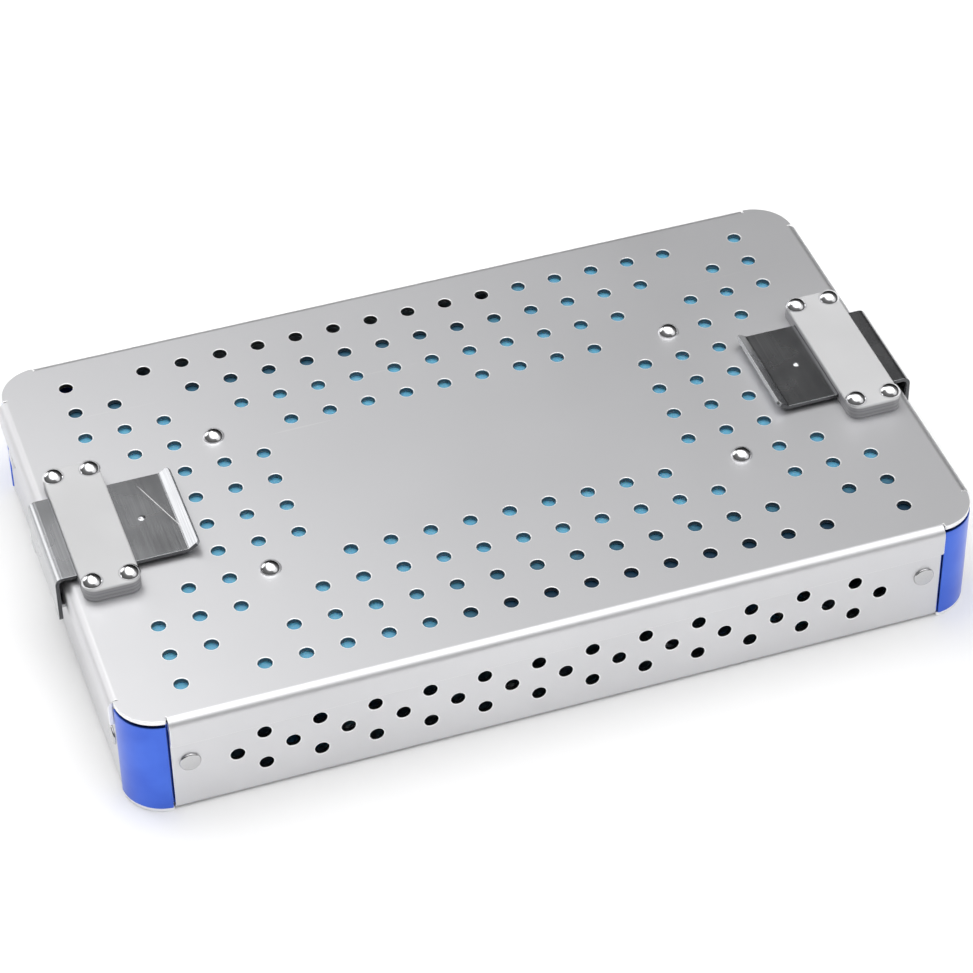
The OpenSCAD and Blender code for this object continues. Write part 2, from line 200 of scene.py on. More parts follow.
def makeSatinAluminium():
    values = satinAluminium
    material, tree, shader, place = startMaterial("satinAnodisedAluminium", Metallic=1.0)
    clouds = pattern(tree, place, values["cloudSize"], detail=3.0)
    hairs = pattern(tree, place, values["hairSizes"], turn=values["hairTurn"])
    hairs = addNode(
        tree, "MapRange", [hairs, values["hairStart"], values["hairFull"], 0.0, values["hairStrength"]])
    # Painted highlight on the rims of the cut edges; the hairline marks are real wear
    edge = addNode(tree, "Attribute", output="Fac", attribute_name="edge")
    wearAndPaintedHighlight = addNode(tree, "Math", [edge, hairs], operation="MAXIMUM")
    colour = addNode(
        tree, "Mix", {0: spread(tree, clouds), 6: values["grey"], 7: values["greyClouded"]}, **colourMix)
    colour = addNode(tree, "Mix", {0: wearAndPaintedHighlight, 6: colour, 7: values["edge"]}, **colourMix)
    parts = addNode(tree, "SeparateXYZ", [place], None).outputs
    outward = addNode(tree, "Math", [parts[1]], operation="ABSOLUTE")
    # Painted shade inside the punched holes, over the duller sheared metal
    for shadeColour, limits in values["paintedShade"]:
        inside = [within(tree, part, *pair) for part, pair in zip((parts[0], outward, parts[2]), limits)]
        colour = addNode(tree, "Mix", {0: product(tree, *inside), 6: colour, 7: shadeColour}, **colourMix)
    grain = pattern(tree, place, values["grainSize"], detail=1.0)
    finishMaterial(tree, shader, values, colour, grain, spread(tree, clouds, *values["roughness"]))
    return material


# Blue anodised aluminium: dyed sheet with a tighter sheen than the clear one and a fine drawn grain
blueAluminium = dict(
    blue="#4770dc", blueDeep="#3e65d2", cloudSize=9, roughness=(0.3, 0.36), coat=0.35,
    coatRoughness=0.3, grainSizes=(0.5, 0.5, 14), reliefHeight=0.004, reliefStrength=0.3,
)


def makeBlueAluminium():
    values = blueAluminium
    material, tree, shader, place = startMaterial("blueAnodisedAluminium", **{
        "Metallic": 1.0, "Coat Weight": values["coat"], "Coat Roughness": values["coatRoughness"]})
    clouds = pattern(tree, place, values["cloudSize"])
    colour = addNode(
        tree, "Mix", {0: spread(tree, clouds), 6: values["blue"], 7: values["blueDeep"]}, **colourMix)
    grain = pattern(tree, place, values["grainSizes"])
    finishMaterial(tree, shader, values, colour, grain, spread(tree, clouds, *values["roughness"]))
    return material


# Polished and plain rivet metal: tumbled heads, smooth, with faint smears from the setting tool
rivetMetals = dict(
    polishedStainless=dict(metal="#e4e4e6", roughness=(0.1, 0.15), smearSize=1.6),
    drawnAluminium=dict(metal="#c4c4c5", roughness=(0.14, 0.2), smearSize=1.2),
)


def makeRivetMetal(name):
    values = rivetMetals[name]
    material, tree, shader, place = startMaterial(name, **{"Base Color": values["metal"], "Metallic": 1.0})
    smears = pattern(tree, place, values["smearSize"], detail=3.0)
    tree.links.new(spread(tree, smears, *values["roughness"]), shader.inputs["Roughness"])
    return material


# Brushed stainless steel: cold-rolled strip ground across the slide's travel, so the streaks run
# along y, with patches where fingers and the guide rub. The long edges are painted dark as painted
# shade, with the duller metal where it was sheared.
# The left slide has one bright scratch, from start to end across its top.
brushedStainless = dict(
    steel="#c0c1c3", steelDark="#adaeb1", roughness=(0.24, 0.29), brushSizes=(0.35, 22, 0.35),
    # Painted shade: the dark colour of the long edges, past a distance from the middle
    patchSize=12, paintedShade="#5c5d5f", paintedShadeFrom=14.18, reliefHeight=0.003, reliefStrength=0.3,
)
scratch = dict(
    colour="#f4f4f4", start=(-83.0, 11.8), end=(-76.4, -6.4), width=0.16, fadeFrom=0.7, roughness=0.3)


def markAlong(tree, place, mark):
    # A hairline between two points of the slide's top: 1 on the line, 0 off it
    start, end = np.array(mark["start"]), np.array(mark["end"])
    run = end - start
    half = np.linalg.norm(run) / 2 * mm
    middle = (*((start + end) / 2 * mm).tolist(), 0)
    line = addNode(
        tree, "Mapping", [place, middle, (0, 0, math.atan2(run[1], run[0]))], vector_type="TEXTURE")
    fades = []
    for axis, (full, gone) in enumerate(((half * mark["fadeFrom"], half), (0.0, mark["width"] * mm))):
        part = addNode(tree, "SeparateXYZ", [line], axis)
        away = addNode(tree, "Math", [part], operation="ABSOLUTE")
        fades.append(addNode(tree, "MapRange", [away, full, gone, 1.0, 0.0]))
    return product(tree, *fades)


def makeBrushedStainless(name, mark=None):
    values = brushedStainless
    material, tree, shader, place = startMaterial(name, Metallic=1.0)
    streaks = pattern(tree, place, values["brushSizes"], detail=3.0)
    rough = spread(tree, pattern(tree, place, values["patchSize"]), *values["roughness"])
    colour = addNode(
        tree, "Mix", {0: spread(tree, streaks), 6: values["steel"], 7: values["steelDark"]}, **colourMix)
    # Painted shade: the long edges beyond the ground face are painted dark
    across = addNode(tree, "SeparateXYZ", [place], 1)
    ground = within(tree, across, -values["paintedShadeFrom"], values["paintedShadeFrom"])
    colour = addNode(tree, "Mix", {0: ground, 6: values["paintedShade"], 7: colour}, **colourMix)
    if mark:
        line = markAlong(tree, place, mark)
        colour = addNode(tree, "Mix", {0: line, 6: colour, 7: mark["colour"]}, **colourMix)
        rough = addNode(tree, "Math", [line, mark["roughness"], rough], operation="MULTIPLY_ADD")
    finishMaterial(tree, shader, values, colour, streaks, rough)
    return material


# Grey ABS: injection moulded with a fine spark-eroded grain, nearly matt. Mould seams run round
# the sides, one above the other. The sides below a height are painted darker than the top as
# painted shade, and the seams are darker lines on them. A wave texture at scale 1 repeats every
# wavePeriod metres.
greyPlastic = dict(
    grey="#c7c7c8", greyShaded="#c2c2c3", cloudSize=18, roughness=0.5, ior=1.53,
    # Painted shade: the darker side colour below a height; the seams are darker lines on it
    side="#9d9da0", seam="#8a8a8d", paintedShadeTop=33.4, paintedShadeBlend=0.25, seamPitch=0.95, seamShare=0.35,
    wavePeriod=0.314, grainSize=0.5, reliefHeight=0.012, reliefStrength=0.4,
)


def makeGreyPlastic():
    values = greyPlastic
    material, tree, shader, place = startMaterial("greyAbs", Roughness=values["roughness"], IOR=values["ior"])
    clouds = pattern(tree, place, values["cloudSize"])
    colour = addNode(
        tree, "Mix", {0: spread(tree, clouds), 6: values["grey"], 7: values["greyShaded"]}, **colourMix)
    scale = values["wavePeriod"] / (values["seamPitch"] * mm)
    waves = addNode(tree, "TexWave", {"Vector": place, "Scale": scale}, "Fac", bands_direction="Z")
    seams = addNode(tree, "MapRange", [waves, 0.0, values["seamShare"], 1.0, 0.0])
    shadedSides = addNode(tree, "Mix", {0: seams, 6: values["side"], 7: values["seam"]}, **colourMix)
    # Painted shade: below a height the sides take the darker side colour with its seams, the top keeps its
    # own
    height = addNode(tree, "SeparateXYZ", [place], 2)
    paintedShadeTop = values["paintedShadeTop"] * mm
    upper = addNode(tree, "MapRange", [height, paintedShadeTop - values["paintedShadeBlend"] * mm, paintedShadeTop, 0.0, 1.0])
    colour = addNode(tree, "Mix", {0: upper, 6: shadedSides, 7: colour}, **colourMix)
    finishMaterial(tree, shader, values, colour, pattern(tree, place, values["grainSize"], detail=1.0))
    return material


# Silicone rubber: compression moulded, sky blue, slightly see-through at the skin, with a soft
# waxy gloss. Painted shade darkens the mat towards the front right and the back left: within its
# heights the colour goes to the dark blue outwards in y over the edge distances, and over the
# corner distances towards the left at the back, with the mirror image at the front.
skySilicone = dict(
    blue="#5c9fbe", bluePale="#6aabc8", cloudSize=14, roughness=0.45, ior=1.41, seeThrough=0.25,
    # Painted shade: the dark blue and the distances over which it takes over
    seeDepth=1.0, deep="#0f3248", paintedShadeEdge=(36.0, 50.0), paintedShadeCorner=(42.0, 8.0),
    matHeights=(26.0, 29.0), skinSize=0.8, reliefHeight=0.02, reliefStrength=0.3,
)


def makeSkySilicone():
    values = skySilicone
    material, tree, shader, place = startMaterial("skyBlueSilicone", **{
        "Roughness": values["roughness"], "IOR": values["ior"], "Subsurface Weight": values["seeThrough"],
        "Subsurface Scale": values["seeDepth"] * mm})
    clouds = pattern(tree, place, values["cloudSize"], detail=3.0)
    colour = addNode(
        tree, "Mix", {0: spread(tree, clouds), 6: values["blue"], 7: values["bluePale"]}, **colourMix)
    # Painted shade: dark blue towards the mat's front right and back left edges
    parts = addNode(tree, "SeparateXYZ", [place], None).outputs
    outward = addNode(tree, "Math", [parts[1]], operation="ABSOLUTE")
    side = addNode(tree, "Math", [parts[1]], operation="SIGN")
    along = product(tree, parts[0], side)
    paintedShadeMasks = [within(tree, parts[2], *values["matHeights"])]
    for source, limits in ((outward, values["paintedShadeEdge"]), (along, values["paintedShadeCorner"])):
        paintedShadeMasks.append(addNode(
            tree, "MapRange", [source, *np.multiply(limits, mm).tolist(), 0.0, 1.0],
            interpolation_type="SMOOTHSTEP"))
    colour = addNode(tree, "Mix", {0: product(tree, *paintedShadeMasks), 6: colour, 7: values["deep"]}, **colourMix)
    finishMaterial(tree, shader, values, colour, pattern(tree, place, values["skinSize"]))
    return material


materials = dict(
    satin=makeSatinAluminium(),
    blue=makeBlueAluminium(),
    polished=makeRivetMetal("polishedStainless"),
    drawn=makeRivetMetal("drawnAluminium"),
    steelLeft=makeBrushedStainless("brushedStainlessLeft", scratch),
    steelRight=makeBrushedStainless("brushedStainlessRight"),
    plastic=makeGreyPlastic(),
    silicone=makeSkySilicone(),
)
print("materials made:", len(materials))


def addPiece(name, shape, material, body, node):
    # Writes the mesh in metres with its material, joins the piece to its body and hides the node it
    # stands for. A shape is its points and faces, then normals and the mark of cut edges if it has them.
    points, faces, normals, edge = (*shape, None, None)[:4]
    mesh = bpy.data.meshes.new(name)
    mesh.from_pydata(points * mm, [], faces)
    mesh.shade_smooth()
    if normals is not None:
        mesh.normals_split_custom_set_from_vertices(normals)
    if edge is not None:
        mesh.attributes.new("edge", "FLOAT", "POINT").data.foreach_set("value", edge.astype(np.float32))
    mesh.materials.append(materials[material])
    mesh.validate()
    piece = addObject(name, mesh)
    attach(piece, body)
    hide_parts(node)
    return piece


def unit(vectors):
    return vectors / np.linalg.norm(vectors, axis=-1, keepdims=True)


def leftOf(vectors):
    return np.stack([-vectors[..., 1], vectors[..., 0]], -1)


def alike(vector, count):
    # The same vector for every point
    return np.tile(np.array(vector, float), (count, 1))


def directions(angle):
    return np.column_stack([np.cos(angle), np.sin(angle)])


def joined(shapes):
    # Several shapes as one: their points, faces and, where they have them, normals
    points = [shape[0] for shape in shapes]
    begins = np.cumsum([0] + [len(part) for part in points])
    faces = [[vertex + begin for vertex in face] for begin, shape in zip(begins, shapes) for face in shape[1]]
    return np.concatenate(points), faces, *[np.concatenate(part) for part in zip(*[s[2:3] for s in shapes])]


def crossed(xs, ys):
    return np.array([(x, y) for x in xs for y in ys], float)


# Signs of the four corners
quadrants = crossed((-1, 1), (-1, 1))
# Distances in millimetres: points that near count as one on an outline, and in a triangulation,
# and tiny is for rounding errors
sameSpot = 1e-4
merging = 1e-7
tiny = 1e-9


def rounded(corners, radii, steps=4):
    # A closed outline with each corner drawn as an arc of its radius; no radius leaves the point
    corners = np.array(corners, float)
    radii = np.broadcast_to(np.array(radii, float), len(corners))
    into = unit(corners - np.roll(corners, 1, 0))
    out = np.roll(into, -1, 0)
    turn = np.arctan2((leftOf(into) * out).sum(1), (into * out).sum(1))
    start = corners - into * (radii * np.tan(np.abs(turn) / 2))[:, None]
    angle = np.abs(turn)[:, None] * np.linspace(0, 1, steps + 1)
    side = np.sign(turn)[:, None] * leftOf(into)
    arc = np.sin(angle)[..., None] * into[:, None] + (1 - np.cos(angle))[..., None] * side[:, None]
    points = (start[:, None] + radii[:, None, None] * arc).reshape(-1, 2)
    apart = np.linalg.norm(points - np.roll(points, 1, 0), axis=1) > sameSpot
    return points[apart]


def arcPoints(radius, first, last, steps):
    # Points of a circle's arc round the origin, from one angle in radians to another
    return radius * directions(np.linspace(first, last, steps + 1))


def circleLoops(centres, radius, count=28):
    # Holes run clockwise, so that the material lies on the left of every loop
    ring = arcPoints(radius, 0, -2 * np.pi, count)[:-1]
    return [centre + ring for centre in np.array(centres, float)]


def bentPath(start, heading, parts):
    # A line made of straight and round parts, each given by its length and its turn in degrees.
    # The result maps a distance along it to a point and a unit tangent.
    lengths, turns = np.array(parts, float).T
    curves = np.radians(turns) / lengths
    begins = np.concatenate([[0], np.cumsum(lengths)[:-1]])
    angles = math.radians(heading) + np.concatenate([[0], np.cumsum(np.radians(turns))[:-1]])

    def advance(angle, curve, run):
        # The chord of the run, which points halfway between its ends' directions
        half = curve * run / 2
        return (run * np.sinc(half / np.pi))[:, None] * directions(angle + half)

    steps = advance(angles, curves, lengths)
    joints = np.array(start) + np.concatenate([np.zeros((1, 2)), np.cumsum(steps, 0)[:-1]])

    def at(distance):
        part = np.clip(np.searchsorted(begins, distance + tiny, side="right") - 1, 0, None)
        run = distance - begins[part]
        tangent = directions(angles[part] + curves[part] * run)
        return joints[part] + advance(angles[part], curves[part], run), tangent

    return at


def levelSurface(height):
    # A flat outer face at that height
    def surface(places):
        count = len(places)
        point = np.column_stack([places, np.full(count, height)])
        return point, alike((1, 0, 0), count), alike((0, 1, 0), count)

    return surface


def platePoints(outline, cuts, thickness, rims, surface, fill, cutRim=None, cutGuard=0, steps=3):
    # A plate cut from a flat blank and laid on a surface. Each loop carries the section of the
    # cut edge: a quarter round of the outer rim, the straight edge, a quarter round of the inner
    # rim. Both faces between the loops are one constrained triangulation with the fill points.
    # cutGuard adds a ring of fill points that far from each cut, where the edge mark ends.
    loops = [np.array(loop) for loop in (outline, *cuts)]
    sizes = np.array([len(loop) for loop in loops])
    loopOf = np.repeat(np.arange(len(loops)), sizes)
    ahead = np.concatenate([np.roll(loop, -1, 0) - loop for loop in loops])
    behind = np.concatenate([loop - np.roll(loop, 1, 0) for loop in loops])
    base = np.concatenate(loops)
    mitre = leftOf(unit(ahead)) + leftOf(unit(behind))
    mitre /= (1 + (unit(ahead) * unit(behind)).sum(1))[:, None]
    outward = -unit(leftOf(ahead + behind))
    count = len(base)
    following = np.arange(count) + 1
    following[np.cumsum(sizes) - 1] -= sizes

    turn = np.linspace(0, np.pi / 2, steps + 1)
    onCut = loopOf > 0
    topRim, lowRim = [
        np.where(onCut, rim if cutRim is None else cutRim, rim) for rim in np.broadcast_to(rims, 2)]
    sine, cosine = np.sin(turn)[:, None], np.cos(turn)[:, None]
    back = np.concatenate([topRim * (1 - sine), lowRim * (1 - sine[::-1])])
    deep = np.concatenate([topRim * (1 - cosine), -lowRim * (1 - cosine[::-1])])
    lean = np.concatenate([turn, np.pi - turn[::-1]])
    low = np.arange(len(back)) > steps
    thicknessAt = thickness if callable(thickness) else lambda spots: np.full(len(spots), float(thickness))
    depth = deep + np.where(low[:, None], thicknessAt(base), 0)

    guards = [(base + mitre * (topRim + cutGuard)[:, None])[onCut]] if cutGuard else []
    inner = np.concatenate([np.zeros((0, 2)), *guards, np.array(fill, float).reshape(-1, 2)])

    # The triangulation keeps the inside of the outline, and gives back which point each came from
    flat = np.concatenate([base + mitre * topRim[:, None], inner])
    edges = np.column_stack([np.arange(count), following]).tolist()
    found, _, cells, origins, *_ = delaunay_2d_cdt([Vector(p) for p in flat.tolist()], edges, [], 1, merging)
    if len(found) != len(flat):
        raise ValueError(f"outline crosses itself: {len(found)} points for {len(flat)}")
    triangles = np.array([origin[0] for origin in origins])[np.array(cells)]
    owner = np.concatenate([loopOf, -1 - np.arange(len(inner))])[triangles]
    inHole = (owner[:, 0] > 0) & (owner == owner[:, :1]).all(1)
    triangles = triangles[~inHole]

    ringCount = len(back)
    places = np.concatenate([(base + back[..., None] * mitre).reshape(-1, 2), inner, inner])
    point, alongU, alongV = surface(places)
    flipped = getattr(surface, "mirrored", False)
    normal = np.cross(alongU, alongV) * (-1 if flipped else 1)
    side = np.tile(outward, (ringCount, 1))
    onRings = ringCount * count
    sideways = side[:, :1] * alongU[:onRings] + side[:, 1:] * alongV[:onRings]
    leans = np.repeat(lean, count)[:, None]
    shade = np.concatenate([
        np.cos(leans) * normal[:onRings] + np.sin(leans) * sideways,
        normal[onRings:onRings + len(inner)], -normal[onRings + len(inner):]])
    drop = np.concatenate([depth.ravel(), np.zeros(len(inner)), thicknessAt(inner)])
    points = point - drop[:, None] * normal

    ring = np.arange(ringCount - 1)[:, None] * count
    here = np.arange(count)
    innerIndex = onRings + np.arange(len(inner))
    walls = np.stack(
        [ring + count + here, ring + count + following, ring + following, ring + here], -1).reshape(-1, 4)
    lastRing = onRings - count
    top = np.concatenate([here, innerIndex])[triangles]
    bottom = np.concatenate([lastRing + here, innerIndex + len(inner)])[triangles][:, ::-1]
    faces = sum([part[:, ::-1 if flipped else 1].tolist() for part in (walls, top, bottom)], [])

    edge = np.concatenate([np.ones(onRings), np.zeros(2 * len(inner))])
    unmarked = here[~onCut] if cutGuard else here
    edge[unmarked] = 0
    edge[lastRing + unmarked] = 0
    return points, faces, shade, edge


# Folded sheets: the lid and the tray are each one flat blank with four sides folded over
folds = dict(
    bendSteps=8, columnStep=3.0, slit=0.25, endRound=0.5, reliefRound=0.09, discRound=0.45,
    cornerSteps=16, fillInset=1.2,
)
holes = dict(
    pitch=10.0, diameter=3.5, halfColumns=9, rows=12, fullRows=4, rivetRow=3, middleColumns=(2, 3, 4),
    edgeWidth=0.24, lidClear=2.6, trayClear=3.4,
)
sheet = dict(thickness=1.2, lidBend=2.4, lidCornerIn=1.2, trayBend=2.0, rim=0.15)
cornerRadius = 11.5
reach = lidHigh[:2] - cornerRadius


def foldedSurface(flat, bendRadius, height, down):
    # Level in the middle. Past flat, each side turns over the bend and runs straight, so a
    # distance in the blank is the distance along the outer face.
    bend = bentPath((0, 0), 0, [(bendRadius * np.pi / 2, -90), (caseTop, 0)])

    def surface(places):
        count = len(places)
        point = np.column_stack([places, np.zeros(count)])
        along = [alike((1, 0, 0), count), alike((0, 1, 0), count)]
        for axis in (0, 1):
            other = 1 - axis
            past = np.abs(places[:, axis]) > flat[axis]
            past &= np.abs(places[:, other]) <= reach[other] + sameSpot
            side = np.sign(places[past, axis])
            drop, tangent = bend(np.abs(places[past, axis]) - flat[axis])
            point[past, axis] = side * (flat[axis] + drop[:, 0])
            point[past, 2] = drop[:, 1]
            along[axis][past, axis] = tangent[:, 0]
            along[axis][past, 2] = side * tangent[:, 1]
        for vectors in (point, *along):
            vectors[:, 2] *= down
        point[:, 2] += height
        return point, *along

    surface.mirrored = down < 0
    return surface


def foldedBlank(half, bendRadius, sideHeight, disc):
    # One quarter of the blank's outline, mirrored round the sheet, and fill points in the bends
    flat = half - bendRadius
    arc = bendRadius * np.pi / 2
    end = arc + sideHeight - bendRadius
    rows = np.linspace(0, arc, folds["bendSteps"] + 1)
    slit = folds["slit"]
    cornerArc = reach + arcPoints(
        disc, math.asin(slit / disc), math.acos(slit / disc), folds["cornerSteps"])
    down = crossed(flat[0] + np.array([end, *rows[::-1]]), [reach[1]])
    up = crossed([reach[0]], flat[1] + np.array([*rows, end]))
    quarter = [*down, (flat[0], reach[1] + slit), *cornerArc, (reach[0] + slit, flat[1]), *up]
    radii = np.zeros(len(quarter))
    radii[[0, -1]] = folds["endRound"]
    radii[[len(down) - 1, len(down), -len(up) - 1, -len(up)]] = folds["reliefRound"]
    radii[[len(down) + 1, -len(up) - 2]] = folds["discRound"]
    quarter = np.array(quarter)
    outline = np.concatenate([
        quarter, (quarter * (-1, 1))[::-1], -quarter, (quarter * (1, -1))[::-1]])
    allRadii = np.concatenate([radii, radii[::-1], radii, radii[::-1]])
    fill = []
    for axis in (0, 1):
        span = reach[1 - axis] - folds["fillInset"]
        line = np.linspace(-span, span, int(2 * span / folds["columnStep"]))
        grid = crossed(flat[axis] + rows, line)[:, ::-1 if axis else 1]
        fill += [grid, -grid]
    return rounded(outline, allRadii), np.concatenate(fill), flat, arc


def gridCentres(skip=()):
    # The lid's grid: a diagonal stays plain from each corner, and so do the middle panel, the
    # latches' tracks and the places of the mat's rivets
    column = np.arange(-holes["halfColumns"], holes["halfColumns"] + 1)
    row = np.arange(holes["rows"])
    j, i = crossed(row, column).T
    fromEnd = holes["halfColumns"] - np.abs(i)
    fromSide = np.minimum(j, holes["rows"] - 1 - j)
    rivet = (fromSide == holes["rivetRow"]) & np.isin(fromEnd, (0, holes["rivetRow"]))
    outer = (fromSide < holes["fullRows"]) & (fromEnd != fromSide + 1) & ~rivet
    middle = (fromSide >= holes["fullRows"]) & np.isin(fromEnd, holes["middleColumns"])
    shown = (outer | middle) & ~np.isin(fromEnd, skip)
    pitch = holes["pitch"]
    return np.column_stack([i * pitch, (holes["rows"] / 2 - 0.5 - j) * pitch])[shown]


def cellCorners(flat, around, gap):
    # The grid's cell corners, clear of the places around: they keep the flat's triangles short
    pitch = holes["pitch"]
    x = np.arange(-holes["halfColumns"] - 0.5, holes["halfColumns"] + 1) * pitch
    y = np.arange(-holes["rows"] / 2, holes["rows"] / 2 + 1) * pitch
    grid = crossed(y, x)[:, ::-1]
    grid = grid[(np.abs(grid) < flat - folds["fillInset"]).all(1)]
    return grid[np.linalg.norm(grid[:, None] - around, axis=2).min(1) > gap]


# Where the rivets of the mat and of the guide blocks go through the lid
rivetPlaces = dict(matX=60.0, matY=25.0, guideX=97.1, guideStepX=4.5, guideStepY=19.3, shankHole=1.45)


matRivetCentres = quadrants * (rivetPlaces["matX"], rivetPlaces["matY"])
guideSteps = quadrants * (rivetPlaces["guideStepX"], rivetPlaces["guideStepY"])


def guideRivetCentres(side):
    return guideSteps + (side * rivetPlaces["guideX"], 0)


def makeLid():
    outline, fill, flat, _ = foldedBlank(
        lidHigh[:2], sheet["lidBend"], lidHigh[2] - lidLow[2], cornerRadius - sheet["lidCornerIn"])
    steam = gridCentres()
    riveted = np.concatenate([matRivetCentres, guideRivetCentres(-1), guideRivetCentres(1)])
    loops = circleLoops(steam, holes["diameter"] / 2) + circleLoops(riveted, rivetPlaces["shankHole"])
    cells = cellCorners(flat, np.concatenate([steam, riveted]), holes["lidClear"])
    shape = platePoints(
        outline, loops, sheet["thickness"], sheet["rim"], foldedSurface(flat, sheet["lidBend"], caseTop, 1),
        np.concatenate([fill, cells]), cutGuard=holes["edgeWidth"])
    addPiece("lidSheet", shape, "satin", "lid", "lid_cover")


makeLid()
print("lid made")


# Holes of the tray's walls, by their height above the table
wall = dict(
    pitch=13.4, rowHeight=13.3, rowStep=5.0, margin=13.0, rivetInset=4.3, rivetHeight=15.0,
    slotWidth=21.2, slotHeight=2.2, slotMiddle=19.3, slotRound=0.6,
)
# The racks' rivets go through the tray's floor
floorRivets = dict(x=60.0, y=53.75, hole=2.45)
rackRivetCentres = quadrants * (floorRivets["x"], floorRivets["y"])


def zigzagCentres():
    # A middle row on the pitch, and a row above and one below it, half a pitch along
    half = int((reach[0] - wall["margin"]) / wall["pitch"])
    whole = np.arange(-half, half + 1)
    between = np.arange(-half, half) + 0.5
    rows = [np.column_stack([whole, np.zeros(len(whole))])]
    rows += [np.column_stack([between, np.full(len(between), side)]) for side in (-1.0, 1.0)]
    return np.concatenate(rows) * (wall["pitch"], wall["rowStep"]) + (0, wall["rowHeight"])


def onWalls(centres, axis, flat, arc):
    # Places on a wall, given as (along, height), laid out in the blank on both sides
    out = flat + arc + centres[:, 1] - sheet["trayBend"]
    laid = np.column_stack([centres[:, 0], out] if axis else [out, centres[:, 0]])
    return np.concatenate([laid, -laid])


def makeTray():
    outline, fill, flat, arc = foldedBlank(
        trayHigh[:2], sheet["trayBend"], trayHigh[2], trayHigh[0] - reach[0])
    steam = gridCentres(skip=[holes["rivetRow"]])
    riveted = np.concatenate([
        onWalls(
            crossed((-1, 1), [1]) * (reach[1 - axis] - wall["rivetInset"], wall["rivetHeight"]),
            axis, flat[axis], arc)
        for axis in (1, 0)])
    zigzag = onWalls(zigzagCentres(), 1, flat[1], arc)
    loops = circleLoops(np.concatenate([steam, zigzag]), holes["diameter"] / 2)
    loops += circleLoops(riveted, rivetPlaces["shankHole"])
    loops += circleLoops(rackRivetCentres, floorRivets["hole"])
    slotHalf = np.array([wall["slotHeight"], wall["slotWidth"]]) / 2
    slotLoop = rounded(quadrants[[0, 1, 3, 2]] * slotHalf, wall["slotRound"])
    loops += [centre + slotLoop for centre in onWalls(np.array([(0, wall["slotMiddle"])]), 0, flat[0], arc)]
    cells = cellCorners(flat, np.concatenate([steam, rackRivetCentres]), holes["trayClear"])
    shape = platePoints(
        outline, loops, sheet["thickness"], sheet["rim"], foldedSurface(flat, sheet["trayBend"], 0, -1),
        np.concatenate([fill, cells]), cutGuard=holes["edgeWidth"])
    addPiece("traySheet", shape, "satin", "base", "base_tray")


makeTray()
print("tray made")


# Blue corner posts: a plate curved between the walls' ends, stepped in to a tab behind each wall
post = dict(
    thickness=1.0, tabLength=9.5, gap=0.5, tabFace=8.9, tabLift=1.95, stepWidth=2.0,
    edgeRound=0.3, stepRound=0.3, rim=0.15, arcSteps=24, roundSteps=5,
)


def makePost(node, sideX, sideY):
    low, high = boxOf(node)
    signs = np.array([sideX, sideY])
    outer = np.abs(np.where(signs > 0, high[:2], low[:2]))[0] - reach[0]
    inner = outer - post["thickness"]
    gap = post["gap"]
    tabIn = post["tabFace"] - post["thickness"]
    step = post["stepWidth"]
    outerArc = arcPoints(outer, math.asin(gap / outer), math.acos(gap / outer), post["arcSteps"])
    innerArc = arcPoints(inner, math.acos(step / inner), math.asin(step / inner), post["arcSteps"])
    tabEnd = -post["tabLength"]
    tab = [(gap, post["tabFace"]), (tabEnd, post["tabFace"]), (tabEnd, tabIn), (step, tabIn)]
    corners = [*outerArc, *tab, *innerArc, *[(y, x) for x, y in tab[::-1]]]
    radii = np.zeros(len(corners))
    last = len(outerArc) - 1
    radii[[0, last, last + 2, last + 3, -2, -3]] = post["edgeRound"]
    radii[[last + 4, last + 5, -4, -5]] = post["stepRound"]
    outline = (rounded(corners, radii, post["roundSteps"]) + reach) * signs
    if sideX * sideY < 0:
        outline = outline[::-1]

    def thickness(places):
        inTab = ((places * signs - reach) < gap / 2).any(1)
        return high[2] - low[2] - np.where(inTab, post["tabLift"], 0)

    shape = platePoints(outline, [], thickness, post["rim"], levelSurface(high[2]), [])
    addPiece(node.replace("corner_", "").replace("_", "-"), shape, "blue", "base", node)


for endName, endSide in (("left", -1), ("right", 1)):
    for wallName, wallSide in (("front", -1), ("back", 1)):
        makePost(f"corner_post_{wallName}_{endName}", endSide, wallSide)
print("corner posts made")


# Rivets: a head above the sheet, a shank through it and an upset tail below
rivets = dict(
    domeDiameter=5.4, domeHeight=1.9, buttonDiameter=5.2, buttonHeight=0.7, buttonCrown=0.08,
    buttonEdge=0.45, shank=1.4, tailRadius=2.3, tailHeight=0.8, tailEdge=0.3, land=0.12, around=48,
    domeSteps=14, buttonSteps=5, sharpFrom=38, slack=0.05,
)


def domeHead():
    # A spherical cap down to a narrow upright land
    half = rivets["domeDiameter"] / 2
    height = rivets["domeHeight"] - rivets["land"]
    ball = (half ** 2 + height ** 2) / (2 * height)
    cap = arcPoints(ball, np.pi / 2, math.acos(half / ball), rivets["domeSteps"])
    cap[0, 0] = 0
    return np.concatenate([cap + (0, rivets["domeHeight"] - ball), [(half, 0)]])


def buttonHead():
    # A flat head with a slight crown and a rolled edge
    half = rivets["buttonDiameter"] / 2
    edge = rivets["buttonEdge"]
    across = np.linspace(0, half - edge, rivets["buttonSteps"] + 1)
    crown = rivets["buttonHeight"] - rivets["buttonCrown"] * (across / across[-1]) ** 2
    roll = arcPoints(edge, np.pi / 2, 0, rivets["buttonSteps"])[1:] + (half - edge, crown[-1] - edge)
    return np.concatenate([np.column_stack([across, crown]), roll, [(half, 0)]])


def rivetProfile(head, grip):
    # The head, then the shank through the grip and the upset tail below it
    tail = rivets["tailRadius"]
    edge = rivets["tailEdge"]
    foot = -grip - rivets["tailHeight"]
    shank = [(rivets["shank"], 0), (rivets["shank"], -grip), (tail, -grip)]
    return np.concatenate([head, shank, [(tail, foot + edge), (tail - edge, foot), (0, foot)]])


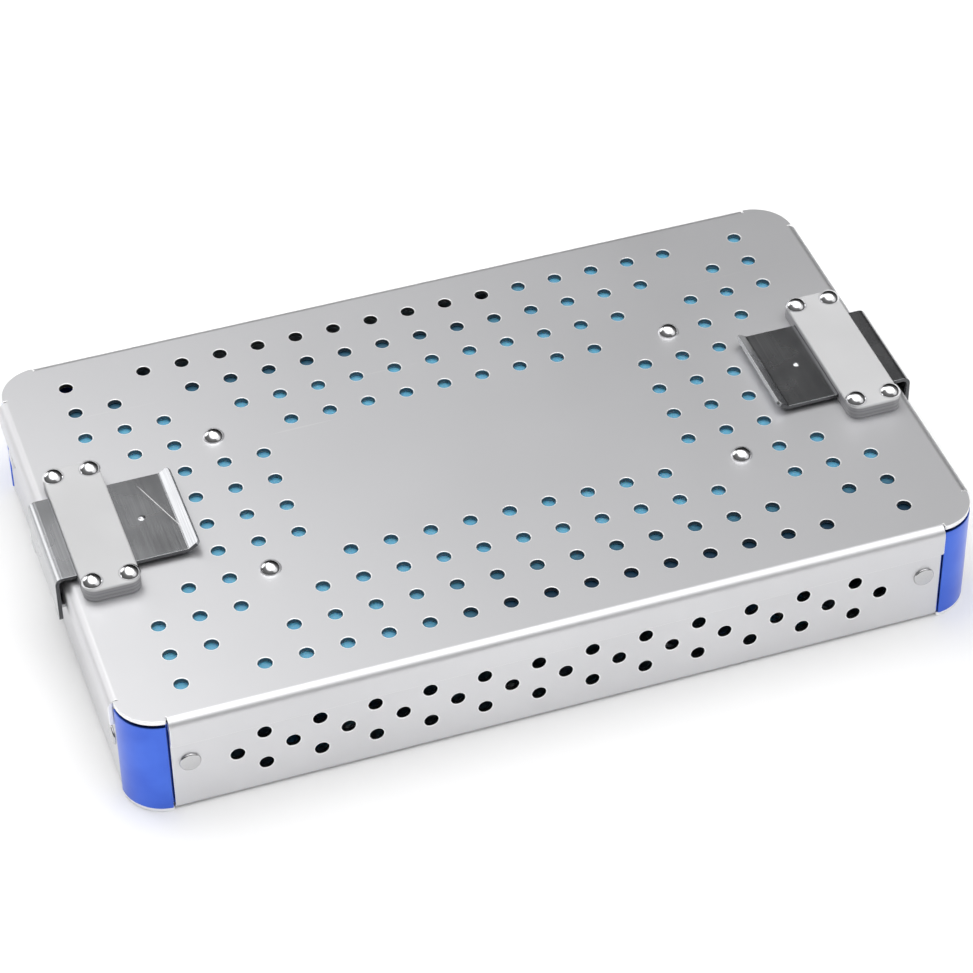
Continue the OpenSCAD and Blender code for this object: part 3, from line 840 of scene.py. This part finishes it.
def revolved(profile, placements):
    # The profile, given as (radius, height) from axis to axis, turned round each placement's
    # axis. A placement is a 4x4 matrix in millimetres.
    around = rivets["around"]
    circle = arcPoints(1, 0, 2 * np.pi, around)[:-1]
    radius, height = profile[1:-1].T
    rings = np.column_stack([
        (radius[:, None, None] * circle).reshape(-1, 2), np.repeat(height, around)])
    points = np.concatenate([[(0, 0, profile[0, 1])], rings, [(0, 0, profile[-1, 1])]])
    here = np.arange(around)
    following = np.roll(here, -1)
    ring = 1 + np.arange(len(radius) - 1)[:, None] * around
    quads = np.stack(
        [ring + here, ring + around + here, ring + around + following, ring + following], -1).reshape(-1, 4)
    last = 1 + (len(radius) - 1) * around
    top = np.column_stack([np.zeros(around, int), 1 + here, 1 + following])
    bottom = np.column_stack([np.full(around, len(points) - 1), last + following, last + here])
    faces = quads.tolist() + top.tolist() + bottom.tolist()
    places = [np.array(place) for place in placements]
    return joined([(points @ place[:3, :3].T + place[:3, 3], faces) for place in places])


def addTurned(name, profile, placements, material, body, node):
    piece = addPiece(name, revolved(profile, placements), material, body, node)
    piece.data.set_sharp_from_angle(angle=math.radians(rivets["sharpFrom"]))


def upright(centres, height):
    # Placements on top of a level sheet
    return [Matrix.Translation((x, y, height)) for x, y in centres]


def wallPlacements():
    # Placements facing out of the four walls, one near each end
    places = []
    for sideX, sideY in quadrants.tolist():
        along, across = (sideX, sideY) * (reach - wall["rivetInset"])
        places += [
            Matrix.Translation((along, sideY * trayHigh[1], wall["rivetHeight"]))
            @ Matrix.Rotation(-sideY * math.pi / 2, 4, "X"),
            Matrix.Translation((sideX * trayHigh[0], across, wall["rivetHeight"]))
            @ Matrix.Rotation(sideX * math.pi / 2, 4, "Y")]
    return places


guideLow, guideHigh = boxOf("guide_block_right")
matLow, matHigh = boxOf("lid_mat")
washer = dict(thickness=0.6, radius=4.0, rim=0.15, around=40, rackHole=1.25)
matGrip = caseTop - matLow[2] + washer["thickness"]
wallGrip = sheet["thickness"] + post["thickness"] + rivets["slack"]
addTurned(
    "cornerRivets", rivetProfile(buttonHead(), wallGrip), wallPlacements(), "drawn", "base", "corner_rivets")
addTurned(
    "matRivets", rivetProfile(domeHead(), matGrip), upright(matRivetCentres, caseTop), "polished", "lid",
    "mat_rivets")
for endName, endSide in (("left", -1), ("right", 1)):
    addTurned(
        f"guideRivets-{endName}", rivetProfile(domeHead(), guideHigh[2] - caseTop + sheet["thickness"]),
        upright(guideRivetCentres(endSide), guideHigh[2]), "polished", "lid", f"guide_rivets_{endName}")
print("rivets made")


# Guide blocks: moulded bridges over the slides, each on a thin pad of its own
guide = dict(
    cornerRound=3.0, cornerSteps=8, topRim=0.55, lowRim=0.2, padRim=0.2, holeRim=0.1, rimSteps=5,
    columnStep=1.4, channelHalf=14.35, channelHeight=1.2, wallWidth=0.08,
)


def boxOutline(low, high, cornerRound):
    corners = crossed((low[0], high[0]), (low[1], high[1]))[[0, 2, 3, 1]]
    return rounded(corners, cornerRound, guide["cornerSteps"])


def splitAt(outline, values):
    # Adds a point to the outline wherever it passes one of these y values
    for value in values:
        step = np.roll(outline, -1, 0) - outline
        level = step[:, 1] == 0
        share = (value - outline[:, 1]) / np.where(level, 1, step[:, 1])
        passes = (share > tiny) & (share < 1 - tiny) & ~level
        extra = outline[passes] + share[passes, None] * step[passes]
        outline = np.insert(outline, np.flatnonzero(passes) + 1, extra, axis=0)
    return outline


def makeGuide(endName):
    low, high = boxOf(f"guide_block_{endName}")
    side = math.copysign(1, low[0] + high[0])
    edges = guide["channelHalf"] + np.array([0, guide["wallWidth"]])
    rows = np.concatenate([-edges, edges])
    outline = splitAt(boxOutline(low, high, guide["cornerRound"]), rows)
    step = guide["columnStep"]
    fill = crossed(np.arange(low[0] + step, high[0] - step / 2, step), rows)

    def thickness(places):
        inChannel = np.abs(places[:, 1]) < guide["channelHalf"] + guide["wallWidth"] / 2
        return high[2] - low[2] - np.where(inChannel, guide["channelHeight"], 0)

    loops = circleLoops(guideRivetCentres(side), rivetPlaces["shankHole"])
    shape = platePoints(
        outline, loops, thickness, (guide["topRim"], guide["lowRim"]), levelSurface(high[2]), fill,
        cutRim=guide["holeRim"], steps=guide["rimSteps"])
    addPiece(f"guideBlock-{endName}", shape, "plastic", "lid", f"guide_block_{endName}")
    low, high = boxOf(f"guide_pad_{endName}")
    shape = platePoints(
        boxOutline(low, high, guide["cornerRound"]), loops, high[2] - low[2], guide["padRim"],
        levelSurface(high[2]), [])
    addPiece(f"guidePad-{endName}", shape, "plastic", "lid", f"guide_pad_{endName}")


for endName in ("left", "right"):
    makeGuide(endName)
print("guide blocks made")


# Latch slides: stainless strip bent to a thumb edge at one end and to a leg with a lip at the other
slide = dict(
    thickness=1.0, half=14.25, thumbLength=2.6, thumbAngle=35, thumbBend=1.0, thumbRound=1.2,
    flatStart=77.1, topHeight=32.1, endFace=109.6, endBend=2.0, legFoot=18.8, lipHalf=10.0,
    lipSlit=0.35, lipBend=1.25, lipTip=106.45, footRound=0.7, lipRound=0.9, rim=0.13,
    bumpX=84.7, bumpRadius=1.0, bumpHeight=0.42, bumpAround=24, columns=12, columnInset=1.2,
    lipInset=1.0, thumbSteps=4, bendSteps=10, lipSteps=6, roundSteps=5,
    bumpRings=(0.15, 0.3, 0.45, 0.6, 0.75, 0.9, 1.0),
)


def slideStretches():
    # Lengths along the slide's outer face, from the thumb edge's tip to the lip's tip
    thumb = (slide["thumbLength"], 0)
    thumbBend = (slide["thumbBend"] * math.radians(slide["thumbAngle"]), slide["thumbAngle"])
    flat = (slide["endFace"] - slide["endBend"] - slide["flatStart"], 0)
    endBend = (slide["endBend"] * np.pi / 2, -90)
    leg = (slide["topHeight"] - slide["endBend"] - slide["legFoot"] - slide["lipBend"], 0)
    lipBend = (slide["lipBend"] * np.pi / 2, -90)
    lip = (slide["endFace"] - slide["lipBend"] - slide["lipTip"], 0)
    return [thumb, thumbBend, flat, endBend, leg, lipBend, lip]


def makeSlide(endName, side, material):
    stretches = slideStretches()
    begins = np.concatenate([[0], np.cumsum([length for length, _ in stretches])])
    angle = math.radians(slide["thumbAngle"])
    start = (
        slide["flatStart"] - slide["thumbLength"] * math.cos(angle) - slide["thumbBend"] * math.sin(angle),
        slide["topHeight"] + slide["thumbLength"] * math.sin(angle)
        + slide["thumbBend"] * (1 - math.cos(angle)))
    bent = bentPath(start, -slide["thumbAngle"], stretches)
    # Beside the lip the leg runs on straight
    straight = bentPath(start, -slide["thumbAngle"], stretches[:5] + [(slide["legFoot"], 0)])
    bumpAt = begins[2] + slide["bumpX"] - slide["flatStart"]
    legEnd = begins[5] + slide["lipBend"]

    def surface(places):
        along, across = places.T
        inLip = (np.abs(across) <= slide["lipHalf"] + sameSpot)[:, None]
        point, tangent = [np.where(inLip, *pair) for pair in zip(bent(along), straight(along))]
        # The bump is one wave of a cosine round its middle, and steep is its slope over the distance
        away = np.hypot(along - bumpAt, across)
        phase = np.pi * np.clip(away / slide["bumpRadius"], 0, 1)
        lift = slide["bumpHeight"] * (1 + np.cos(phase)) / 2
        steep = -slide["bumpHeight"] * np.pi / (2 * slide["bumpRadius"]) * np.sin(phase)
        steep = steep / np.maximum(away, tiny)
        none = np.zeros(len(along))
        point = np.column_stack([side * point[:, 0], across, point[:, 1] + lift])
        alongU = np.column_stack([side * tangent[:, 0], none, tangent[:, 1] + steep * (along - bumpAt)])
        alongV = np.column_stack([none, none + 1, steep * across])
        return point, unit(alongU), unit(alongV)

    surface.mirrored = side < 0
    rows = np.concatenate([
        np.linspace(begins[1], begins[2], slide["thumbSteps"] + 1),
        np.linspace(begins[3], begins[4], slide["bendSteps"] + 1), [begins[5]]])
    lipRows = np.linspace(begins[5], begins[6], slide["lipSteps"] + 1)
    half, lip = slide["half"], slide["lipHalf"]
    slit = lip + slide["lipSlit"]
    edge = [
        (0, half), *crossed(rows, [half]), (legEnd, half), (legEnd, slit), (begins[5], slit),
        *crossed(lipRows, [lip]), (begins[7], lip)]
    radii = np.zeros(len(edge))
    radii[0] = slide["thumbRound"]
    mark = len(rows) + 1
    radii[[mark, mark + 1]] = slide["footRound"]
    radii[[mark + 2, mark + 3]] = folds["reliefRound"]
    radii[-1] = slide["lipRound"]
    edge = np.array(edge)
    outline = rounded(
        np.concatenate([edge[::-1], edge * (1, -1)]), np.concatenate([radii[::-1], radii]),
        slide["roundSteps"])
    columns = np.linspace(-1, 1, slide["columns"])
    circle = arcPoints(slide["bumpRadius"], 0, 2 * np.pi, slide["bumpAround"])[:-1]
    rings = np.concatenate([circle * share for share in slide["bumpRings"]])
    fill = np.concatenate([
        crossed(rows[:-1], columns * (half - slide["columnInset"])),
        crossed(lipRows, columns * (lip - slide["lipInset"])), [(bumpAt, 0)], rings + (bumpAt, 0)])
    shape = platePoints(outline, [], slide["thickness"], slide["rim"], surface, fill)
    node = f"latch_{endName}"
    addPiece(f"latchSlide-{endName}", shape, material, node, node)


makeSlide("left", -1, "steelLeft")
makeSlide("right", 1, "steelRight")
print("latch slides made")


# Silicone hold-down mat under the lid, flat and held by four rivets. A notch clears each guide
# block's rivets, and the back edge is cut back over the left part.
mat = dict(
    thickness=2.0, rim=0.5, cornerRound=6.0, notchRound=2.0, roundSteps=6, trimLength=119.0,
    trimWidth=8.0, latticeStep=5.0, edgeClear=1.5, rivetClear=2.6,
)


def makeMat():
    low, high = matLow, matHigh
    notchX = guideLow[0] - rivets["tailRadius"]
    notchY = guideHigh[1] + rivets["tailRadius"]
    trimX, trimY = low[0] + mat["trimLength"], high[1] - mat["trimWidth"]
    corners = [
        (low[0], low[1]), (high[0], low[1]), (high[0], -notchY), (notchX, -notchY), (notchX, notchY),
        (high[0], notchY), (high[0], high[1]), (trimX, high[1]), (trimX, trimY), (low[0], trimY),
        (low[0], notchY), (-notchX, notchY), (-notchX, -notchY), (low[0], -notchY)]
    radii = np.full(len(corners), mat["notchRound"])
    outerCorners = [0, 1, 6, 9]
    radii[outerCorners] = mat["cornerRound"]
    step, clear = mat["latticeStep"], mat["edgeClear"]
    lattice = crossed(np.arange(low[0] + step, high[0], step), np.arange(low[1] + step, high[1], step))
    inNotch = (np.abs(lattice) * (1, -1) > (notchX - clear, -notchY - clear)).all(1)
    trimmed = (lattice * (-1, 1) > (-trimX - clear, trimY - clear)).all(1)
    toRivet = np.linalg.norm(lattice[:, None] - matRivetCentres[None], axis=2).min(1)
    shape = platePoints(
        rounded(corners, radii, mat["roundSteps"]),
        circleLoops(matRivetCentres, rivetPlaces["shankHole"]), mat["thickness"], mat["rim"],
        levelSurface(high[2]), lattice[~inNotch & ~trimmed & (toRivet >= mat["rivetClear"])])
    addPiece("holdDownMat", shape, "silicone", "lid", "lid_mat")


makeMat()
print("mat made")


def makeWashers(name, node, centres, top, hole, body):
    shapes = []
    for centre in centres:
        outline = circleLoops([centre], washer["radius"], washer["around"])[0][::-1]
        shapes.append(platePoints(
            outline, circleLoops([centre], hole), washer["thickness"], washer["rim"], levelSurface(top), []))
    addPiece(name, joined(shapes), "drawn", body, node)


washerTop = boxOf("rack_washers")[1][2]
makeWashers("matWashers", "mat_washers", matRivetCentres, matLow[2], rivetPlaces["shankHole"], "lid")
makeWashers("rackWashers", "rack_washers", rackRivetCentres, washerTop, washer["rackHole"], "base")
print("washers made")


# Instrument racks: silicone bars with a row of open notches, each on a riveted foot
rack = dict(
    footThickness=2.2, footRound=3.5, footRim=0.5, thickness=6.0, tail=8.4,
    notchWidth=6.4, notchDepth=9.0, notchPitch=11.0, halfNotches=4, lipRound=1.1, rim=0.85,
    seat=0.4, endRound=1.1, footEdge=0.15, bowlSteps=10, roundSteps=5, rimSteps=4,
)
# The racks' rivets: flush in the tray's floor, with an upset tail on the washer
rackRivet = dict(shank=1.2, coneTop=0.9, flushRadius=2.4, lift=0.02)


def notchedOutline(half, foot, top):
    # The bar seen from its side: open notches with round bottoms
    width = rack["notchWidth"] / 2
    floor = top - rack["notchDepth"] + width
    bowl = arcPoints(width, 0, -np.pi, rack["bowlSteps"])
    corners = [(-half, foot), (half, foot), (half, top)]
    radii = [0, 0, rack["endRound"]]
    for index in range(rack["halfNotches"], -rack["halfNotches"] - 1, -1):
        middle = index * rack["notchPitch"]
        corners += [(middle + width, top), *(bowl + (middle, floor)), (middle - width, top)]
        radii += [rack["lipRound"], *np.zeros(len(bowl)), rack["lipRound"]]
    return rounded(corners + [(-half, top)], radii + [rack["endRound"]], rack["roundSteps"])


def makeRack(endName):
    low, high = boxOf(f"rack_{endName}")
    middle = (low[0] + high[0]) / 2
    footTop = low[2] + rack["footThickness"]
    centres = rackRivetCentres[np.sign(rackRivetCentres[:, 0]) == np.sign(middle)]
    foot = platePoints(
        boxOutline(low, high, rack["footRound"]), circleLoops(centres, washer["rackHole"]),
        rack["footThickness"], (rack["footRim"], rack["footEdge"]), levelSurface(footTop), [])

    def surface(places):
        count = len(places)
        point = np.column_stack([np.full(count, middle + rack["thickness"] / 2), places])
        return point, alike((0, 1, 0), count), alike((0, 0, 1), count)

    outline = notchedOutline(high[1] - rack["tail"], footTop - rack["seat"], high[2])
    bar = platePoints(outline, [], rack["thickness"], rack["rim"], surface, [], steps=rack["rimSteps"])
    addPiece(f"instrumentRack-{endName}", joined([foot, bar]), "silicone", "base", f"rack_{endName}")


def rackRivetProfile():
    top = washerTop + rivets["tailHeight"]
    edge, tail, shank = rivets["tailEdge"], rivets["tailRadius"], rackRivet["shank"]
    return np.array([
        (0, top), (tail - edge, top), (tail, top - edge), (tail, washerTop), (shank, washerTop),
        (shank, rackRivet["coneTop"]), (rackRivet["flushRadius"], rackRivet["lift"]), (0, rackRivet["lift"])])


for endName in ("left", "right"):
    makeRack(endName)
addTurned("rackRivets", rackRivetProfile(), upright(rackRivetCentres, 0), "drawn", "base", "rack_rivets")
print("racks made")


# Studio: a pale floor in a soft room. Directions are azimuths from the front, turning to the
# right, and heights above the horizon, and reach is half a softbox's width, all in degrees. The
# backdrop's top is the sine of its height.
studio = dict(
    floorHalf=6000.0, floor="#fafafa", floorRough=0.9, floorShine=0.1, level=0.06, overhead=0.2,
    softboxes=[
        dict(azimuth=20, height=86, reach=46, strength=2.35),
        dict(azimuth=50, height=42, reach=32, strength=0.85),
        dict(azimuth=205, height=58, reach=30, strength=0.4),
        dict(azimuth=219, height=22, reach=21, strength=2.0),
    ],
    darkCorner=dict(azimuth=148, height=18, reach=54, strength=-0.86),
    fullShare=0.35, backdropTop=0.03, backdropBlend=0.05,
)
backLamp = dict(place=(-145.0, 275.0, 520.0), size=280.0, power=0.49)


def makeFloor():
    half = studio["floorHalf"]
    mesh = bpy.data.meshes.new("floor")
    spots = np.column_stack([quadrants * half, np.zeros(4)])
    mesh.from_pydata(spots * mm, [], [(0, 2, 3, 1)])
    material, *_ = startMaterial("paleFloor", **{
        "Base Color": studio["floor"], "Roughness": studio["floorRough"],
        "Specular IOR Level": studio["floorShine"]})
    mesh.materials.append(material)
    addObject("floor", mesh)


def softbox(tree, direction, shape):
    # Full strength in the inner share of its reach, fading out to its rim
    azimuth, height = math.radians(shape["azimuth"]), math.radians(shape["height"])
    axis = (math.sin(azimuth) * math.cos(height), -math.cos(azimuth) * math.cos(height), math.sin(height))
    facing = addNode(tree, "VectorMath", [direction, axis], "Value", operation="DOT_PRODUCT")
    rim, full = [math.cos(math.radians(shape["reach"] * share)) for share in (1, studio["fullShare"])]
    return addNode(
        tree, "MapRange", [facing, rim, full, 0.0, shape["strength"]], interpolation_type="SMOOTHSTEP")


def makeWorld():
    world = bpy.data.worlds.new("studioRoom")
    world.use_nodes = True
    scene.world = world
    tree = world.node_tree
    tree.nodes.clear()
    rays = addNode(tree, "LightPath", output=None).outputs
    direction = addNode(tree, "TexCoord", output="Generated")
    height = addNode(tree, "SeparateXYZ", [direction], 2)
    room = addNode(tree, "Math", [height, studio["overhead"], studio["level"]], operation="MULTIPLY_ADD")
    for shape in studio["softboxes"]:
        room = addNode(tree, "Math", [room, softbox(tree, direction, shape)], operation="ADD")
    dark = softbox(tree, direction, studio["darkCorner"])
    shade = addNode(tree, "Math", [dark, 1.0], operation="ADD")
    room = product(tree, room, shade)
    # Reflections see the white backdrop behind the floor, up to a little above the horizon, and
    # the camera sees white everywhere. Only the room and the lamp light the case.
    top = studio["backdropTop"]
    backdrop = addNode(
        tree, "MapRange", [height, top, top + studio["backdropBlend"], 1.0, 0.0],
        interpolation_type="SMOOTHSTEP")
    mirrored = addNode(tree, "Math", [rays["Is Glossy Ray"], rays["Is Transmission Ray"]], operation="ADD")
    seen = addNode(tree, "Mix", {0: product(tree, backdrop, mirrored), 2: room, 3: 1.0})
    strength = addNode(tree, "Mix", {0: rays["Is Camera Ray"], 2: seen, 3: 1.0})
    background = addNode(tree, "Background", {"Color": "#ffffff", "Strength": strength})
    addNode(tree, "OutputWorld", {"Surface": background}, None)


def makeLamp():
    # A small softbox near the case, behind it to the left: it brightens the lid's near left end
    data = bpy.data.lights.new("backLamp", "AREA")
    data.size = backLamp["size"] * mm
    data.energy = backLamp["power"]
    addObject("backLamp", data).matrix_world = aimed(backLamp["place"], (0, 0, 0))


makeFloor()
makeWorld()
makeLamp()
scene.view_settings.view_transform = "Standard"
print("studio made")
